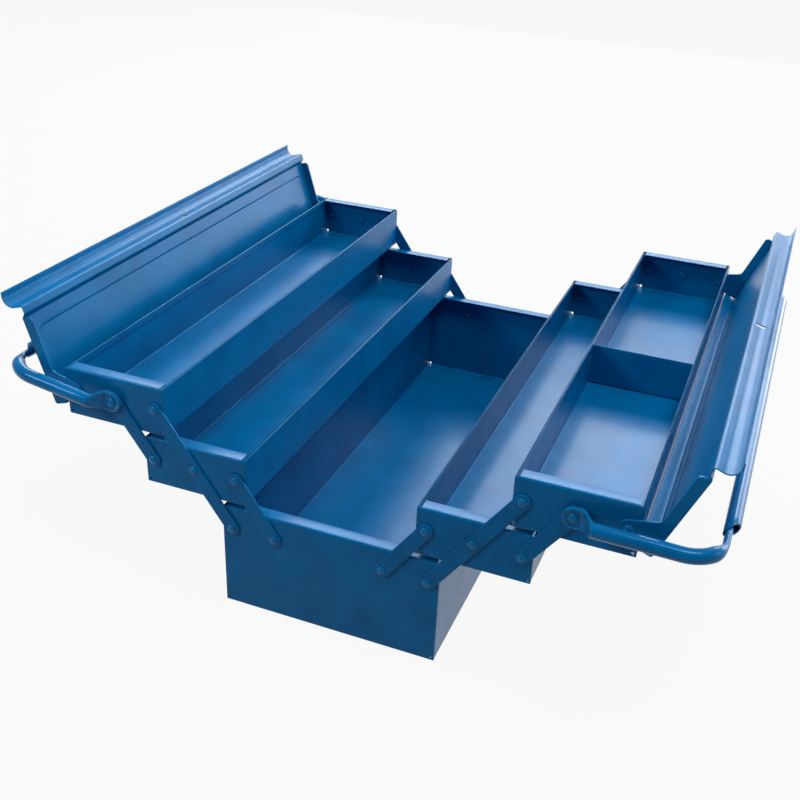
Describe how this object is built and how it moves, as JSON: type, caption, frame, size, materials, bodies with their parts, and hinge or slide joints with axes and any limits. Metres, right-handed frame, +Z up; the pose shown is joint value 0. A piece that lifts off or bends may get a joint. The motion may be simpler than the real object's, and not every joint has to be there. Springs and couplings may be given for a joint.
{
  "type": "cantilever tool case",
  "caption": "Folded sheet-steel tool case whose hinged trays swing out on parallel links over a deep base tray, with ridged lids and folding tube handles.",
  "frame": {"origin": "middle of the base tray's underside", "axes": "+X across the case to the right-hand trays, +Y along the case to its back end, +Z up"},
  "size_m": [0.6266, 0.5656, 0.261],
  "materials": {
    "trays": "gloss blue enamel with a fine orange-peel texture",
    "lids": "gloss blue enamel with a fine orange-peel texture",
    "links": "gloss blue enamel over flat steel bar",
    "handles": "gloss blue enamel over steel tube",
    "rivets": "gloss blue enamel over riveted steel"
  },
  "bodies": {
    "base": {"base_shell": "trays", "base_end_front": "trays", "base_end_back": "trays", "base_rivets": "rivets", "base_washers": "rivets"},
    "long_links_left": {"long_link_front_left": "links", "long_link_back_left": "links"},
    "mid_tray_left": {"mid_shell_left": "trays", "mid_end_front_left": "trays", "mid_end_back_left": "trays", "mid_rivets_left": "rivets", "mid_washers_left": "rivets"},
    "top_tray_left": {"top_shell_left": "trays", "top_end_front_left": "trays", "top_end_back_left": "trays", "top_rivets_left": "rivets", "top_washers_left": "rivets"},
    "lower_links_left": {"lower_link_front_left": "links", "lower_link_back_left": "links"},
    "upper_links_left": {"upper_link_front_left": "links", "upper_link_back_left": "links"},
    "lid_left": {"lid_left": "lids", "lid_bracket_front_left": "links", "lid_bracket_back_left": "links"},
    "handle_left": {"handle_bar_left": "handles", "handle_arm_front_left": "handles", "handle_arm_back_left": "handles"},
    "long_links_right": {"long_link_front_right": "links", "long_link_back_right": "links"},
    "mid_tray_right": {"mid_shell_right": "trays", "mid_end_front_right": "trays", "mid_end_back_right": "trays", "mid_rivets_right": "rivets", "mid_washers_right": "rivets"},
    "top_tray_right": {"top_shell_right": "trays", "top_end_front_right": "trays", "top_end_back_right": "trays", "top_rivets_right": "rivets", "top_washers_right": "rivets", "divider_right": "trays"},
    "lower_links_right": {"lower_link_front_right": "links", "lower_link_back_right": "links"},
    "upper_links_right": {"upper_link_front_right": "links", "upper_link_back_right": "links"},
    "lid_right": {"lid_right": "lids", "lid_bracket_front_right": "links", "lid_bracket_back_right": "links"},
    "handle_right": {"handle_bar_right": "handles", "handle_arm_front_right": "handles", "handle_arm_back_right": "handles"}
  },
  "joints": [
    {"name": "fold_left", "type": "hinge", "parent": "base", "child": "long_links_left", "pos_m": [-0.0902, 0, 0.0815], "axis": [0, 1, 0], "range_deg": [0, 76.34]},
    {"name": "lower_link_turn_left", "type": "hinge", "parent": "base", "child": "lower_links_left", "pos_m": [-0.0502, 0, 0.0815], "axis": [0, 1, 0], "range_deg": [0, 76.34]},
    {"name": "mid_tray_turn_left", "type": "hinge", "parent": "long_links_left", "child": "mid_tray_left", "pos_m": [-0.12569, 0, 0.1315], "axis": [0, 1, 0], "range_deg": [-76.34, 0]},
    {"name": "top_tray_turn_left", "type": "hinge", "parent": "long_links_left", "child": "top_tray_left", "pos_m": [-0.16118, 0, 0.1815], "axis": [0, 1, 0], "range_deg": [-76.34, 0]},
    {"name": "upper_link_turn_left", "type": "hinge", "parent": "mid_tray_left", "child": "upper_links_left", "pos_m": [-0.16569, 0, 0.1315], "axis": [0, 1, 0], "range_deg": [0, 76.34]},
    {"name": "lid_left_hinge", "type": "hinge", "parent": "top_tray_left", "child": "lid_left", "pos_m": [-0.24138, 0, 0.1815], "axis": [0, 1, 0], "range_deg": [0, 107]},
    {"name": "handle_left_hinge", "type": "hinge", "parent": "top_tray_left", "child": "handle_left", "pos_m": [-0.20119, 0, 0.1815], "axis": [0, 1, 0], "range_deg": [0, 105.85]},
    {"name": "fold_right", "type": "hinge", "parent": "base", "child": "long_links_right", "pos_m": [0.0902, 0, 0.0815], "axis": [0, -1, 0], "range_deg": [0, 76.34]},
    {"name": "lower_link_turn_right", "type": "hinge", "parent": "base", "child": "lower_links_right", "pos_m": [0.0502, 0, 0.0815], "axis": [0, -1, 0], "range_deg": [0, 76.34]},
    {"name": "mid_tray_turn_right", "type": "hinge", "parent": "long_links_right", "child": "mid_tray_right", "pos_m": [0.12569, 0, 0.1315], "axis": [0, -1, 0], "range_deg": [-76.34, 0]},
    {"name": "top_tray_turn_right", "type": "hinge", "parent": "long_links_right", "child": "top_tray_right", "pos_m": [0.16118, 0, 0.1815], "axis": [0, -1, 0], "range_deg": [-76.34, 0]},
    {"name": "upper_link_turn_right", "type": "hinge", "parent": "mid_tray_right", "child": "upper_links_right", "pos_m": [0.16569, 0, 0.1315], "axis": [0, -1, 0], "range_deg": [0, 76.34]},
    {"name": "lid_right_hinge", "type": "hinge", "parent": "top_tray_right", "child": "lid_right", "pos_m": [0.24138, 0, 0.1815], "axis": [0, -1, 0], "range_deg": [0, 112]},
    {"name": "handle_right_hinge", "type": "hinge", "parent": "top_tray_right", "child": "handle_right", "pos_m": [0.20119, 0, 0.1815], "axis": [0, -1, 0], "range_deg": [0, 114.29]}
  ],
  "couplings": [
    {"joint": "lower_link_turn_left", "follows": "fold_left", "ratio": 1},
    {"joint": "mid_tray_turn_left", "follows": "fold_left", "ratio": -1},
    {"joint": "top_tray_turn_left", "follows": "fold_left", "ratio": -1},
    {"joint": "upper_link_turn_left", "follows": "fold_left", "ratio": 1},
    {"joint": "handle_left_hinge", "follows": "lid_left_hinge", "ratio": 0.98928},
    {"joint": "lower_link_turn_right", "follows": "fold_right", "ratio": 1},
    {"joint": "mid_tray_turn_right", "follows": "fold_right", "ratio": -1},
    {"joint": "top_tray_turn_right", "follows": "fold_right", "ratio": -1},
    {"joint": "upper_link_turn_right", "follows": "fold_right", "ratio": 1},
    {"joint": "handle_right_hinge", "follows": "lid_right_hinge", "ratio": 1.0205}
  ]
}
